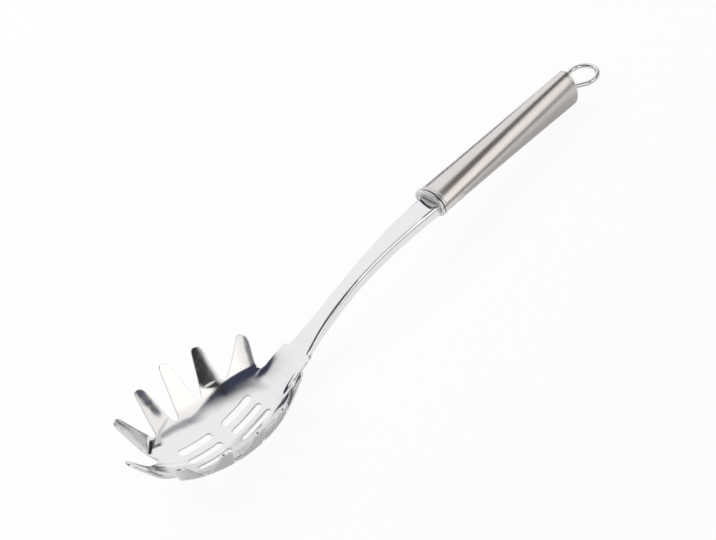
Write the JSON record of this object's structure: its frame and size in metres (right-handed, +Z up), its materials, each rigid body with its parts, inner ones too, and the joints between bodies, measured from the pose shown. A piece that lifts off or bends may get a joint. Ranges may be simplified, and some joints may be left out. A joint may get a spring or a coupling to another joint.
{
  "type": "pasta server",
  "caption": "Metal pasta server: pressed slotted bowl with tapering tines round its rim, channel shank, collar, oval tube handle and wire hanging loop.",
  "frame": {"origin": "on the table under the middle of the object's box, as it lies on the belly of its bowl and the heel of its handle", "axes": "+X along the object from the front tine to the hanging loop, +Y to the left seen from behind the handle, +Z up"},
  "size_m": [0.3234, 0.0738, 0.0375],
  "materials": {
    "polished_sheet": "bright polished stainless steel",
    "brushed_tube": "brushed round the tube",
    "polished_trim": "mirror polished",
    "polished_wire": "mirror polished"
  },
  "bodies": {
    "root": {"tined_head": "polished_sheet", "handle_tube": "brushed_tube", "front_ferrule": "polished_trim", "rear_cap": "polished_trim", "hanging_loop": "polished_wire"}
  },
  "joints": []
}
